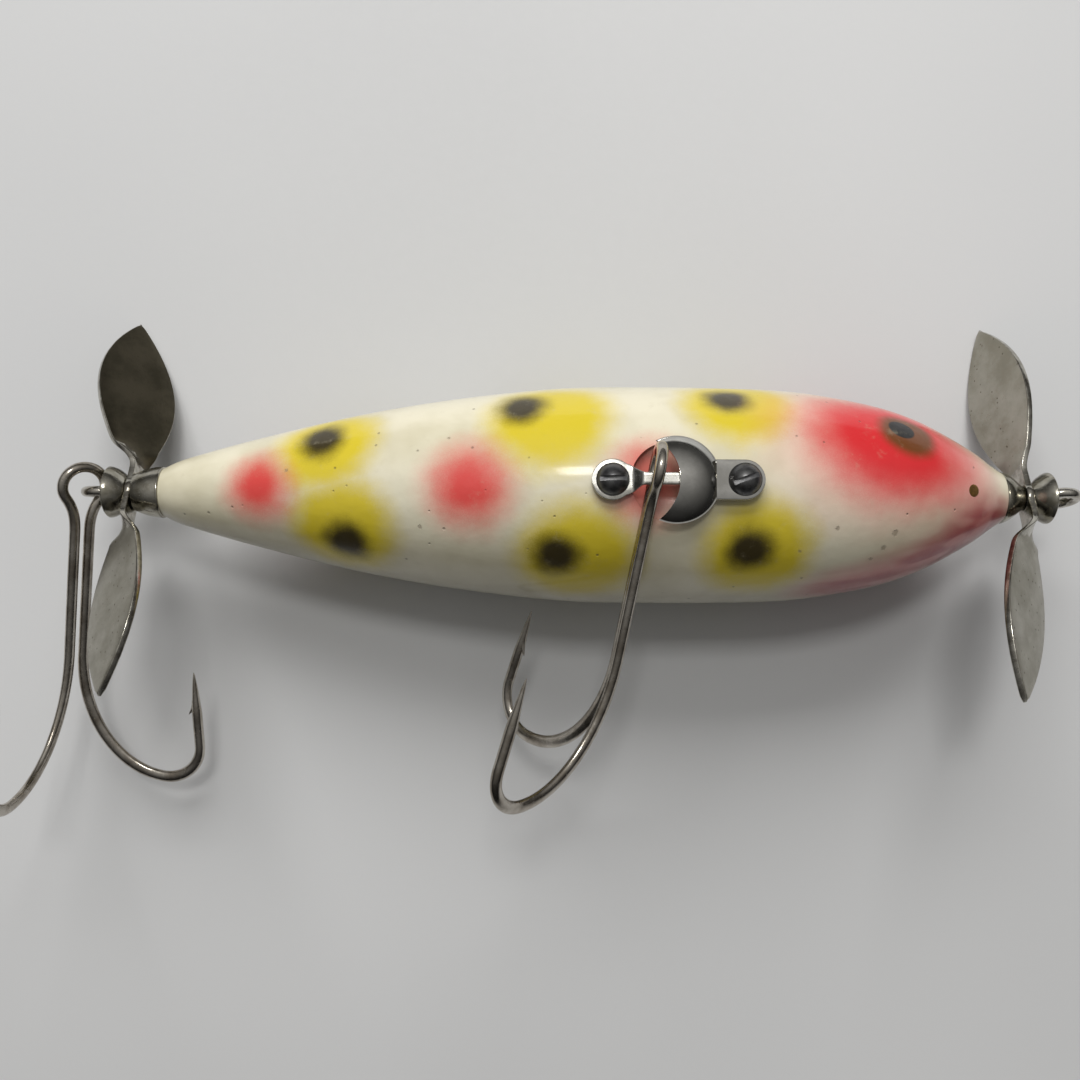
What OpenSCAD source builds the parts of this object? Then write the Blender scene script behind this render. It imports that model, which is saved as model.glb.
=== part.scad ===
// Propeller plug: a hollow two-piece lure body with a propeller at each end,
// a double hook on the tail eye and a double hook on a flap rig.
// The line tie's ring centre is the origin, +X runs along the body to the nose,
// and +Z is the side that carries the flap rig.

/* [Body] */
// Length of the moulded body
body_len = 80.7; // [78:0.1:84]
// Largest radius of the body
body_r = 10.4; // [10.2:0.1:10.8]
// Wall thickness of the hollow halves
wall = 2.4; // [2:0.1:2.6]

/* [Wire hardware] */
// Radius of the line tie's and the tail eye's wire
wire_r = 0.5; // [0.45:0.01:0.52]
// Radius from the middle of an eye ring to the middle of its wire
eye_r = 1.6; // [1.55:0.01:1.7]
// Tilt of the line tie's ring about the body axis
line_tie_tilt = 17.6; // [0:0.1:30]
// Rim radius of the cups and bells
cup_rim_r = 2.5; // [2.4:0.05:2.6]

/* [Propellers] */
// Radius at the blade tips
prop_r = 20.9; // [19:0.1:21]
// Widest chord of a blade
blade_chord = 8; // [7:0.1:8.5]
// Sheet thickness of a propeller
blade_t = 0.6; // [0.5:0.05:0.6]
// Turn of the propellers about the body axis as they lie
prop_turn = 29; // [20:1:30]
// Blade pitch of the rear propeller
rear_pitch = 48; // [40:1:60]
// Blade pitch of the front propeller's upper blade
front_pitch_up = 18; // [12:1:40]
// Blade pitch of the front propeller's lower blade
front_pitch_down = 44; // [30:1:50]

/* [Hooks] */
// Radius of the hook wire
hook_r = 0.5; // [0.45:0.01:0.55]
// Shank length from the loop's top to the start of the bend
shank_len = 19.5; // [18:0.1:21]
// Depth of the bend across the shank
bend_gape = 9.1; // [8:0.1:9.5]
// Depth of the bend along the shank
bend_depth = 11.9; // [11:0.1:12.5]
// Half of the angle between a prong and the plane of the shanks
prong_angle = 44; // [35:1:50]

/* [Flap rig] */
// Roll of the flap rig about the body axis
rig_roll = 4.8; // [0:0.1:8]
// Radius of the guard's dome
dome_r = 3.8; // [3.6:0.1:4]
// Distance between the two rig screws
screw_gap = 11.4; // [11:0.1:11.8]

/* [Hidden] */

// Places along the body axis, counted back from the line tie
nose_x = -5.9;
tail_x = nose_x - body_len;
nose_cup_len = 2.35;
tail_cup_len = 2.95;
bell_len = 1.85;
play = 0.04;
front_hub_x = nose_x + nose_cup_len + blade_t / 2 + play;
rear_hub_x = tail_x - tail_cup_len - blade_t / 2 - play;
front_bell_x = front_hub_x + blade_t / 2 + play;
rear_bell_x = rear_hub_x - blade_t / 2 - play;
tail_eye_x = rear_bell_x - 2.37;
bore_r = wire_r + 0.08;
glue_gap = 0.02;
shank_in = 9;
solid_end = 11;
sheet = 0.3;

// Body outline as fractions of its length from the tail and of its largest radius
OUTLINE = [[0, 0.226], [0.03, 0.322], [0.119, 0.514], [0.239, 0.734], [0.358, 0.888],
           [0.477, 0.986], [0.568, 1], [0.654, 0.996], [0.747, 0.967], [0.836, 0.856],
           [0.897, 0.706], [0.956, 0.467], [0.986, 0.308], [1, 0.24]];
outline_steps = 4;

// Flap rig, in a frame rolled about the body axis
dome_x = -38.5;
rear_screw_x = -44.0;
front_screw_x = rear_screw_x + screw_gap;
plate_t = 0.6;
guard_t = 0.4;
bar_z = body_r + 0.05;
guard_z = bar_z + plate_t;
neck_w = 1.05;
neck_lift = 0.95;
neck_end_x = -36.4;
tab_w = 3.5;
screw_r = 0.7;
screw_len = 6.5;
head_r = 1.45;
head_h = 1.1;
dome_h = 1.9;
notch_r = 4.2;
recess_r = 3.5;
recess_depth = 1.2;

// Brass pin near the nose
pin_x = -10.4;
pin_r = 0.6;
pin_top = 5.3;

// Blades: where they start at the hub, and between which radii they twist
blade_root = 1.0;
twist_from = 2.6;
twist_to = 5.2;
blade_stations = 24;

// Hook details
loop_r = 1.95;
loop_turn = 125;
shank_half_gap = 0.67;
throat = 6.5;
crook_r = 3.65;
point_len = 8;
point_lean = 9;
barb_at = 4.4;

// Poses of the two hooks: loop top, direction of the shank, direction across the loop
TAIL_TOP = [-93.78, 2.3, 1.64];
TAIL_DOWN = unit([-0.155, -0.952, -0.268]);
TAIL_ACROSS = square_to([0.767, 0.06, -0.64], TAIL_DOWN);
BELLY_TOP = [-39.98, 3.6, 12.9];
BELLY_DOWN = unit([-0.174, -0.955, -0.239]);
BELLY_ACROSS = square_to([-0.014, -0.24, 0.971], BELLY_DOWN);

// ---------------------------------------------------------------- vector helpers
function unit(v) = v / norm(v);
function square_to(v, d) = unit(v - d * (v * d));
function mix(a, b, t) = a + (b - a) * t;

// Point of a smooth curve through four neighbours, between b and c
function curve_point(a, b, c, d, t) =
    0.5 * ((2 * b) + (c - a) * t + (2 * a - 5 * b + 4 * c - d) * t * t
    + (3 * b - a - 3 * c + d) * t * t * t);

// Smooth curve through a list of points
function smooth(p, n) = [
    for (i = [0 : len(p) - 2]) for (k = [0 : n - 1])
        curve_point(p[max(i - 1, 0)], p[i], p[i + 1], p[min(i + 2, len(p) - 1)], k / n),
    p[len(p) - 1]];

// Outer radius points of the body, along the axis from tail to nose
body_outer = [for (p = smooth(OUTLINE, outline_steps)) [tail_x + p[0] * body_len, p[1] * body_r]];
body_inner = [for (p = body_outer) if (p[0] > tail_x + solid_end && p[0] < nose_x - solid_end)
              [p[0], p[1] - wall]];

// Turns a profile of [along, radius] about the X axis
module turn_about_x(profile, start = 0, sweep = 360) {
    rotate([0, 90, 0])
        rotate([0, 0, start])
            rotate_extrude(angle = sweep, $fn = 64)
                polygon([for (p = profile) [p[1], p[0]]]);
}

// A round bar or bore along X
module bar_x(x0, x1, r) {
    translate([x0, 0, 0])
        rotate([0, 90, 0])
            cylinder(h = x1 - x0, r = r, $fn = 48);
}

// Places children in the rolled frame of the flap rig
module rig_frame() {
    rotate([-rig_roll, 0, 0]) children();
}

// ---------------------------------------------------------------- body halves
module half_shell(start) {
    difference() {
        turn_about_x(concat([[tail_x, 0]], body_outer, [[nose_x, 0]]), start, 180);
        turn_about_x(concat([[body_inner[0][0], 0]], body_inner,
            [[body_inner[len(body_inner) - 1][0], 0]]), start - 10, 200);
        bar_x(nose_x - shank_in - 0.5, nose_x + 1, wire_r + glue_gap);
        bar_x(tail_x - 1, tail_x + shank_in + 0.5, wire_r + glue_gap);
    }
}

module screw_boss(x) {
    rig_frame()
        translate([x, 0, body_r - screw_len - 1.4])
            cylinder(h = screw_len, r = 2.2, $fn = 40);
}

module screw_hole(x) {
    rig_frame()
        translate([x, 0, body_r - screw_len + 0.4])
            cylinder(h = screw_len + 2, r = screw_r + glue_gap, $fn = 40);
}

module body_shell_near() {
    color([0.92, 0.9, 0.82])
        difference() {
            union() {
                half_shell(90);
                screw_boss(rear_screw_x);
                screw_boss(front_screw_x);
            }
            screw_hole(rear_screw_x);
            screw_hole(front_screw_x);
            rig_frame() {
                translate([dome_x - 0.4, 0, body_r - recess_depth])
                    cylinder(h = 4, r = recess_r, $fn = 48);
                translate([pin_x, 0, wire_r + glue_gap])
                    cylinder(h = 8, r = pin_r + glue_gap, $fn = 40);
            }
        }
}

module body_shell_far() {
    color([0.92, 0.9, 0.82]) half_shell(-90);
}

// ---------------------------------------------------------------- cups and bells
// Pressed cup: rim at 0, narrow end at len, hollow towards the rim
function cup_outer(len) = [for (i = [0 : 8])
    [len * i / 8, 1.15 + (cup_rim_r - 1.15) * pow(cos(90 * i / 8), 1.25)]];

module cup(len) {
    outer = cup_outer(len);
    inner = [for (i = [7 : -1 : 0]) [outer[i][0] * (len - sheet) / (len * 0.875), outer[i][1] - sheet]];
    difference() {
        turn_about_x(concat([[0, cup_rim_r - sheet]], outer, [[len, 0]], [[len - sheet, 0]], inner));
        bar_x(-1, len + 1, bore_r);
    }
}

module nose_cup() {
    color("silver") translate([nose_x, 0, 0]) cup(nose_cup_len);
}

module tail_cup() {
    color("silver") translate([tail_x, 0, 0]) mirror([1, 0, 0]) cup(tail_cup_len);
}

module front_bell() {
    color("silver") translate([front_bell_x + bell_len, 0, 0]) mirror([1, 0, 0]) cup(bell_len);
}

module rear_bell() {
    color("silver") translate([rear_bell_x - bell_len, 0, 0]) cup(bell_len);
}

// ---------------------------------------------------------------- eyes
// Ring in the XZ plane with a straight shank into the body
module wire_eye(shank_end) {
    rotate([90, 0, 0])
        rotate_extrude($fn = 64)
            translate([eye_r, 0]) circle(r = wire_r, $fn = 32);
    difference() {
        bar_x(-shank_end, -eye_r + 0.2, wire_r);
        rotate([90, 0, 0]) cylinder(h = 4, r = eye_r, center = true, $fn = 64);
    }
}

module line_tie() {
    color("silver")
        rotate([-line_tie_tilt, 0, 0]) wire_eye(-nose_x + shank_in);
}

module tail_eye() {
    color("silver")
        translate([tail_eye_x, 0, 0]) mirror([1, 0, 0]) wire_eye(tail_x - tail_eye_x + shank_in);
}

// ---------------------------------------------------------------- propellers
function ease(t) = t * t * (3 - 2 * t);
function clamp01(t) = min(max(t, 0), 1);
// Half chord along a blade: a strip at the hub, then a pointed leaf
function half_chord(r) =
    let(u = clamp01((r - twist_from) / (prop_r - twist_from)))
    r < twist_from ? 1.3 : max(0.15, 1.3 * pow(1 - u, 8) + 2 * blade_chord * u * (1 - u));
function twist(r, pitch) = pitch * ease(clamp01((r - twist_from) / (twist_to - twist_from)));

// Corner points of one blade section: r along the blade, chord turned by the pitch
function blade_section(r, pitch, lean, sweep) =
    let(a = twist(r, pitch), c = half_chord(r), h = blade_t / 2 - 0.01,
        off = (lean + sweep) * r / prop_r * ease(clamp01((r - 1.8) / 4)),
        chord = [sin(a), 0, cos(a)], face = [cos(a), 0, -sin(a)])
    [for (s = [[-1, -1], [1, -1], [1, 1], [-1, 1]])
        [off, r, 0] + chord * c * s[0] + face * h * s[1]];

module blade(pitch, lean, sweep) {
    n = blade_stations;
    rows = [for (i = [0 : n]) blade_section(mix(blade_root, prop_r, i / n), pitch, lean, sweep)];
    points = [for (row = rows) for (p = row) p];
    sides = [for (i = [0 : n - 1]) for (k = [0 : 3]) for (f = [
        [4 * i + 4 + (k + 1) % 4, 4 * i + (k + 1) % 4, 4 * i + k],
        [4 * i + 4 + k, 4 * i + 4 + (k + 1) % 4, 4 * i + k]]) f];
    ends = [[1, 2, 3], [0, 1, 3], [4 * n + 2, 4 * n + 1, 4 * n], [4 * n + 3, 4 * n + 2, 4 * n]];
    polyhedron(points = points, faces = concat(sides, ends));
}

module propeller(pitch_up, pitch_down, lean, sweep) {
    rotate([-prop_turn, 0, 0]) {
        difference() {
            bar_x(-blade_t / 2, blade_t / 2, 1.45);
            bar_x(-1, 1, bore_r);
        }
        blade(pitch_up, lean, sweep);
        rotate([180, 0, 0]) blade(pitch_down, -lean, sweep);
    }
}

module front_propeller() {
    color("silver") translate([front_hub_x, 0, 0]) propeller(front_pitch_up, front_pitch_down, 2.2, -2.4);
}

module rear_propeller() {
    color("silver") translate([rear_hub_x, 0, 0]) propeller(-rear_pitch, -rear_pitch, -2.2, -1);
}

// ---------------------------------------------------------------- hooks
// Wire of one hook in its own frame: x along the shank, y across the loop, z to the prongs
function bezier(a, b, c, d, t) =
    a * pow(1 - t, 3) + b * 3 * pow(1 - t, 2) * t + c * 3 * (1 - t) * t * t + d * t * t * t;

loop_end = [loop_r - loop_r * cos(loop_turn), loop_r * sin(loop_turn), 0];
loop_dir = [sin(loop_turn), cos(loop_turn), 0];
throat_end = [throat, shank_half_gap, 0];

// Half of the wire from the loop's top to a point
prong = [0, cos(prong_angle), sin(prong_angle)];
function prong_pos(s, g) = [s, shank_half_gap, 0] + prong * g;
crook = [shank_len + bend_depth - crook_r, bend_gape];
crook_out = crook + crook_r * [cos(90 + point_lean), sin(90 + point_lean)];
function along_point(q) = prong_pos(crook_out[0] - q * cos(point_lean), crook_out[1] - q * sin(point_lean));

half_wire = concat(
    [for (i = [0 : 7]) let(a = loop_turn * i / 8) [loop_r - loop_r * cos(a), loop_r * sin(a), 0]],
    [for (i = [0 : 5]) bezier(loop_end, loop_end + loop_dir * 1.3, throat_end - [1.3, 0, 0], throat_end, i / 6)],
    [throat_end, prong_pos(shank_len * 0.6, 0)],
    [for (i = [0 : 9]) let(a = 9 * i) prong_pos(shank_len + bend_depth * sin(a), bend_gape * (1 - cos(a)))],
    [for (i = [0 : 6]) let(a = (90 + point_lean) * i / 7)
        prong_pos(crook[0] + crook_r * cos(a), crook[1] + crook_r * sin(a))],
    [for (q = [0, point_len - 6, point_len - barb_at, point_len - barb_at + 0.9, point_len - 1.6, point_len])
        along_point(q)]);
count = len(half_wire);
wire_radius = [for (i = [0 : count - 1])
    i == count - 1 ? 0.06 : i == count - 2 ? 0.32 : i == count - 3 ? hook_r + 0.06 : hook_r];
full_wire = concat([for (i = [count - 1 : -1 : 1]) [half_wire[i][0], -half_wire[i][1], half_wire[i][2]]], half_wire);
full_radius = concat([for (i = [count - 1 : -1 : 1]) wire_radius[i]], wire_radius);

// Frames carried along the wire without twist
function tangent(p, i) = unit(p[min(i + 1, len(p) - 1)] - p[max(i - 1, 0)]);
function frames(p, i = 0, last = undef) =
    i == len(p) ? [] :
    let(n = square_to(last == undef ? [0.3, 0.1, 1] : last, tangent(p, i)))
    concat([n], frames(p, i + 1, n));

module wire_tube(p, radius, sides) {
    n = len(p);
    normal = frames(p);
    points = [for (i = [0 : n - 1]) let(t = tangent(p, i), a = normal[i], b = cross(t, a))
        for (k = [0 : sides - 1]) p[i] + radius[i] * (a * cos(360 * k / sides) + b * sin(360 * k / sides))];
    skin = [for (i = [0 : n - 2]) for (k = [0 : sides - 1]) let(m = (k + 1) % sides) for (f = [
        [i * sides + k, (i + 1) * sides + k, (i + 1) * sides + m],
        [i * sides + k, (i + 1) * sides + m, i * sides + m]]) f];
    caps = [[for (k = [0 : sides - 1]) k], [for (k = [sides - 1 : -1 : 0]) (n - 1) * sides + k]];
    polyhedron(points = points, faces = concat(skin, caps));
}

// Cut barb: a small cone that leaves the point on its inner side
module barb() {
    root = along_point(point_len - barb_at + 0.9);
    back = unit(along_point(0) - along_point(1));
    out = unit(back * 1.1 - prong);
    axis = cross([0, 0, 1], out);
    translate(root)
        rotate(a = acos(out[2]), v = axis)
            cylinder(h = 1.25, r1 = 0.34, r2 = 0.04, $fn = 16);
}

module double_hook(top, down, across) {
    side = cross(down, across);
    multmatrix([[down[0], across[0], side[0], top[0]],
                [down[1], across[1], side[1], top[1]],
                [down[2], across[2], side[2], top[2]],
                [0, 0, 0, 1]]) {
        wire_tube(full_wire, full_radius, 12);
        barb();
        mirror([0, 1, 0]) barb();
    }
}

module tail_hook() {
    color("dimgray") double_hook(TAIL_TOP, TAIL_DOWN, TAIL_ACROSS);
}

module belly_hook() {
    color("dimgray") double_hook(BELLY_TOP, BELLY_DOWN, BELLY_ACROSS);
}

// ---------------------------------------------------------------- flap rig
module plate_hole(x) {
    translate([x, 0, 0]) cylinder(h = 40, r = screw_r + 0.1, $fn = 40);
}

module hanger_bar() {
    rear_r = 1.82;
    color("silver")
        rig_frame()
            difference() {
                union() {
                    translate([rear_screw_x, 0, bar_z]) cylinder(h = plate_t, r = rear_r, $fn = 48);
                    translate([0, 0, bar_z])
                        linear_extrude(height = plate_t)
                            polygon([[rear_screw_x + 0.6, rear_r - 0.1], [rear_screw_x + 1.9, neck_w / 2],
                                     [rear_screw_x + 1.9, -neck_w / 2], [rear_screw_x + 0.6, -rear_r + 0.1]]);
                    translate([0, neck_w / 2, 0]) rotate([90, 0, 0])
                        linear_extrude(height = neck_w)
                            polygon([[-42.3, bar_z], [-42.3, bar_z + plate_t], [-41.6, bar_z + plate_t + neck_lift],
                                     [neck_end_x, bar_z + plate_t + neck_lift], [neck_end_x + 0.7, bar_z + plate_t],
                                     [neck_end_x + 0.7, bar_z], [neck_end_x + 0.3, bar_z],
                                     [neck_end_x - 0.4, bar_z + neck_lift], [-41.2, bar_z + neck_lift],
                                     [-41.9, bar_z]]);
                    translate([front_screw_x, 0, bar_z]) cylinder(h = plate_t, r = tab_w / 2, $fn = 48);
                    translate([neck_end_x + 0.4, -tab_w / 2, bar_z])
                        cube([front_screw_x - neck_end_x - 0.4, tab_w, plate_t]);
                }
                plate_hole(rear_screw_x);
                plate_hole(front_screw_x);
            }
}

dome_ball = (dome_r * dome_r + dome_h * dome_h) / (2 * dome_h);
// Thin spherical cap that stands on the guard's base
module dome_shell() {
    translate([dome_x, 0, guard_z])
        rotate_extrude($fn = 72)
            intersection() {
                translate([0, dome_h - dome_ball])
                    difference() {
                        circle(r = dome_ball, $fn = 96);
                        circle(r = dome_ball - guard_t, $fn = 96);
                    }
                square([dome_r + 1, dome_h + 1]);
            }
}

module hook_guard() {
    color("silver")
        rig_frame() {
            difference() {
                dome_shell();
                translate([dome_x - notch_r + 0.15, -0.15, guard_z - 1])
                    cylinder(h = 6, r = notch_r, $fn = 60);
            }
            difference() {
                union() {
                    translate([front_screw_x, 0, guard_z]) cylinder(h = guard_t, r = tab_w / 2, $fn = 48);
                    translate([dome_x + 2, -tab_w / 2, guard_z])
                        cube([front_screw_x - dome_x - 2, tab_w, guard_t]);
                }
                translate([dome_x, 0, guard_z - 1]) cylinder(h = 3, r = dome_r - 0.25, $fn = 72);
                plate_hole(front_screw_x);
            }
        }
}

// Slotted round-head screw, its head seated at seat
module rig_screw(x, seat, slot_angle) {
    slot_w = 0.42;
    slot_d = 0.55;
    ball = (head_r * head_r + head_h * head_h) / (2 * head_h);
    color("silver")
        rig_frame()
            translate([x, 0, seat]) {
                translate([0, 0, -screw_len + 1.2]) cylinder(h = screw_len - 1.1, r = screw_r, $fn = 40);
                difference() {
                    intersection() {
                        translate([0, 0, head_h - ball]) sphere(r = ball, $fn = 60);
                        cylinder(h = 3, r = 3, $fn = 40);
                    }
                    rotate([0, 0, slot_angle])
                        translate([-3, -slot_w / 2, head_h - slot_d]) cube([6, slot_w, 2]);
                }
            }
}

module rear_rig_screw() {
    rig_screw(rear_screw_x, bar_z + plate_t + glue_gap, 2);
}

module front_rig_screw() {
    rig_screw(front_screw_x, guard_z + guard_t + glue_gap, 20);
}

// ---------------------------------------------------------------- brass pin
module nose_pin() {
    color("goldenrod")
        rig_frame()
            translate([pin_x, 0, wire_r + glue_gap]) cylinder(h = pin_top - wire_r, r = pin_r, $fn = 40);
}

body_shell_near();
body_shell_far();
line_tie();
nose_cup();
front_propeller();
front_bell();
tail_eye();
tail_cup();
rear_propeller();
rear_bell();
tail_hook();
belly_hook();
hanger_bar();
hook_guard();
rear_rig_screw();
front_rig_screw();
nose_pin();
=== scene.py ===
"""Looks of the propeller plug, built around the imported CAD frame.

Shapes are worked out in millimetres in the row frame and scaled to metres when a piece is finished.
+X points out of the nose, +Y to the back of the fish, and +Z is the side with the flap rig.
"""
import math

import bmesh
import bpy
from mathutils import Matrix, Vector


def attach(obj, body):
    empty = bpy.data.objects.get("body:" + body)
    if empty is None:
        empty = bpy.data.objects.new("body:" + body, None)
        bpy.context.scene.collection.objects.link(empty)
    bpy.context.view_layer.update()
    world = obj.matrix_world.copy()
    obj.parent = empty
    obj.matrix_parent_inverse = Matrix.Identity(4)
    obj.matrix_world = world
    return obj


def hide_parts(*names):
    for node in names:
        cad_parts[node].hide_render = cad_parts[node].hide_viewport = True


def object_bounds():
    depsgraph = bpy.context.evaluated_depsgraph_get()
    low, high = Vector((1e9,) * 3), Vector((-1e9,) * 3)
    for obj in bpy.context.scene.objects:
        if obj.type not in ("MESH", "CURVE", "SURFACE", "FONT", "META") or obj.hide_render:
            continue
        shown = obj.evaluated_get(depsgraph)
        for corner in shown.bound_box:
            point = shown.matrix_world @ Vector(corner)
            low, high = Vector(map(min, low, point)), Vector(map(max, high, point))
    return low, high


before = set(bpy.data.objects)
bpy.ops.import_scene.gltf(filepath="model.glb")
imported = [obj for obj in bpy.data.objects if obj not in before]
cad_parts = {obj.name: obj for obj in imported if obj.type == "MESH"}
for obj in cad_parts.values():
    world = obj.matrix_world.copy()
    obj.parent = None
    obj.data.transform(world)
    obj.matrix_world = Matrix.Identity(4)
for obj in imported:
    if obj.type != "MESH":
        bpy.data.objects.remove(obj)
CAD_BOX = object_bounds()

MM = 0.001
TURN = 2 * math.pi

# ---------------------------------------------------------------- sizes, in millimetres
BODY_LEN = 80.7
BODY_R = 10.4
WALL = 2.4
SOLID_END = 11.0
NOSE_X = -5.9
TAIL_X = NOSE_X - BODY_LEN
OUTLINE = [
    (0, 0.226), (0.03, 0.322), (0.119, 0.514), (0.239, 0.734), (0.358, 0.888),
    (0.477, 0.986), (0.568, 1), (0.654, 0.996), (0.747, 0.967), (0.836, 0.856),
    (0.897, 0.706), (0.956, 0.467), (0.986, 0.308), (1, 0.24),
]

WIRE_R = 0.5
EYE_R = 1.6
LINE_TIE_TILT = 17.6
SHANK_IN = 9.0

CUP_RIM_R = 2.5
CUP_NARROW_R = 1.15
TAIL_NARROW_R = 1.75
NOSE_CUP_LEN = 2.35
TAIL_CUP_LEN = 2.95
BELL_LEN = 1.85
SHEET = 0.3
PLAY = 0.04

PROP_R = 20.9
PROP_TURN = 29.0
BLADE_CHORD = 8.0
BLADE_T = 0.6
TWIST_FROM = 2.6
TWIST_TO = 5.2
STRIP_HALF = 1.3
BORE_R = 0.58
BOSS_R = 1.45
FRONT_HUB_X = NOSE_X + NOSE_CUP_LEN + BLADE_T / 2 + PLAY
REAR_HUB_X = TAIL_X - TAIL_CUP_LEN - BLADE_T / 2 - PLAY
FRONT_BELL_X = FRONT_HUB_X + BLADE_T / 2 + PLAY
REAR_BELL_X = REAR_HUB_X - BLADE_T / 2 - PLAY
TAIL_EYE_X = REAR_BELL_X - 2.37

HOOK_R = 0.5
LOOP_R = 1.95
LOOP_TURN = 125.0
SHANK_GAP = 0.67
THROAT = 6.5
SHANK_LEN = 19.5
BEND_GAPE = 9.1
BEND_DEPTH = 11.9
PRONG_ANGLE = 44.0
CROOK_R = 3.65
POINT_LEN = 8.0
POINT_LEAN = 9.0
BARB_AT = 4.4

RIG_ROLL = 4.8
DOME_X = -38.5
DOME_R = 3.8
DOME_H = 1.6
REAR_SCREW_X = -44.0
FRONT_SCREW_X = -32.6
BAR_Z = 10.45
PLATE_T = 0.6
GUARD_Z = BAR_Z + PLATE_T
GUARD_T = 0.4
NECK_HALF = 0.525
NECK_LIFT = 0.95
TAB_HALF = 1.75
FOOT_R = 1.82
HEAD_R = 1.45
HEAD_H = 1.1
PIN_X = -10.4
PIN_R = 0.6

TAIL_POSE = ((-93.78, 2.3, 1.64), (-0.155, -0.952, -0.268), (0.767, 0.06, -0.64))
BELLY_POSE = ((-39.98, 3.6, 12.9), (-0.174, -0.955, -0.239), (-0.014, -0.24, 0.971))

# ---------------------------------------------------------------- small maths
def clamp01(t):
    return min(max(t, 0.0), 1.0)


def ease(t):
    t = clamp01(t)
    return t * t * (3 - 2 * t)


def mix(a, b, t):
    return a + (b - a) * t


def bezier(a, b, c, d, t):
    """Point of a cubic curve from a to d."""
    return a * (1 - t) ** 3 + b * 3 * (1 - t) ** 2 * t + c * 3 * (1 - t) * t * t + d * t ** 3


def smooth_curve(points, steps):
    """Points of a Catmull-Rom curve through a list of pairs."""
    out = []
    last = len(points) - 1
    for i in range(last):
        a, b, c, d = (points[max(0, min(last, i + k))] for k in (-1, 0, 1, 2))
        for k in range(steps):
            t = k / steps
            out.append(tuple(
                0.5 * (2 * q + (r - p) * t + (2 * p - 5 * q + 4 * r - s) * t * t
                       + (3 * q - p - 3 * r + s) * t ** 3)
                for p, q, r, s in zip(a, b, c, d)))
    return out + [points[-1]]


BODY_CURVE = [(TAIL_X + u * BODY_LEN, v * BODY_R) for u, v in smooth_curve(OUTLINE, 10)]


def body_radius(x):
    """Outer radius of the body at x."""
    for (x0, r0), (x1, r1) in zip(BODY_CURVE, BODY_CURVE[1:]):
        if x0 <= x <= x1:
            return mix(r0, r1, (x - x0) / (x1 - x0))
    return 0.0


def on_body(x, angle):
    """Point on the body's surface, the angle in degrees from +Z towards +Y."""
    a = math.radians(angle)
    r = body_radius(x)
    return Vector((x, r * math.sin(a), r * math.cos(a)))


# ---------------------------------------------------------------- mesh helpers
def new_object(name, verts, faces):
    mesh = bpy.data.meshes.new(name)
    mesh.from_pydata([tuple(v) for v in verts], [], faces)
    obj = bpy.data.objects.new(name, mesh)
    bpy.context.scene.collection.objects.link(obj)
    clean(obj)
    return obj


def clean(obj):
    """Merges doubled points and turns all faces outwards."""
    work = bmesh.new()
    work.from_mesh(obj.data)
    bmesh.ops.remove_doubles(work, verts=work.verts, dist=1e-4)
    bmesh.ops.dissolve_degenerate(work, edges=work.edges, dist=1e-4)
    bmesh.ops.recalc_face_normals(work, faces=work.faces)
    work.to_mesh(obj.data)
    work.free()


def apply_modifiers(obj):
    bpy.context.view_layer.update()
    seen = obj.evaluated_get(bpy.context.evaluated_depsgraph_get())
    mesh = bpy.data.meshes.new_from_object(seen)
    obj.modifiers.clear()
    obj.data = mesh


def combine(obj, tool, operation):
    """Cuts the tool from obj or joins it on, and removes the tool."""
    step = obj.modifiers.new("combine", "BOOLEAN")
    step.object = tool
    step.operation = operation
    step.solver = "EXACT"
    apply_modifiers(obj)
    bpy.data.objects.remove(tool)
    clean(obj)


def bevel(obj, width, limit=35, segments=2, material=-1):
    step = obj.modifiers.new("bevel", "BEVEL")
    step.width = width
    step.segments = segments
    step.limit_method = "ANGLE"
    step.angle_limit = math.radians(limit)
    step.material = material
    step.use_clamp_overlap = True
    apply_modifiers(obj)


def rings_mesh(rings, closed=False):
    """Faces that join equal rings of points, with a flat cap at each open end."""
    sides = len(rings[0])
    verts = [p for ring in rings for p in ring]
    faces = []
    spans = len(rings) if closed else len(rings) - 1
    for i in range(spans):
        a = i * sides
        b = ((i + 1) % len(rings)) * sides
        for k in range(sides):
            m = (k + 1) % sides
            faces.append((a + k, a + m, b + m, b + k))
    if not closed:
        faces.append(tuple(range(sides)))
        faces.append(tuple(range((len(rings) - 1) * sides, len(rings) * sides)))
    return verts, faces


def lathe(name, profile, segments=96):
    """Closed profile of (x, radius) turned about the X axis."""
    rings = []
    for k in range(segments):
        a = TURN * k / segments
        rings.append([(x, r * math.sin(a), r * math.cos(a)) for x, r in profile])
    verts, faces = rings_mesh(rings, closed=True)
    return new_object(name, verts, faces)


def lathe_z(name, profile, centre, segments=72):
    """Closed profile of (radius, z) turned about an upright axis."""
    rings = []
    for k in range(segments):
        a = TURN * k / segments
        out_x, out_y = math.cos(a), math.sin(a)
        rings.append([(centre[0] + r * out_x, centre[1] + r * out_y, z) for r, z in profile])
    verts, faces = rings_mesh(rings, closed=True)
    return new_object(name, verts, faces)


def tube(name, path, radii, sides=24, flatten=None):
    """Round wire along a path. flatten(i, offset, tangent) may reshape a ring's offset."""
    path = [Vector(p) for p in path]
    last = len(path) - 1
    normal = Vector((0.3, 0.1, 1))
    rings = []
    for i, point in enumerate(path):
        along = (path[min(i + 1, last)] - path[max(i - 1, 0)]).normalized()
        normal = (normal - along * normal.dot(along)).normalized()
        other = along.cross(normal)
        ring = []
        for k in range(sides):
            a = TURN * k / sides
            offset = (normal * math.cos(a) + other * math.sin(a)) * radii[i]
            if flatten:
                offset = flatten(i, offset, along)
            ring.append(point + offset)
        rings.append(ring)
    verts, faces = rings_mesh(rings)
    return new_object(name, verts, faces)


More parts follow.
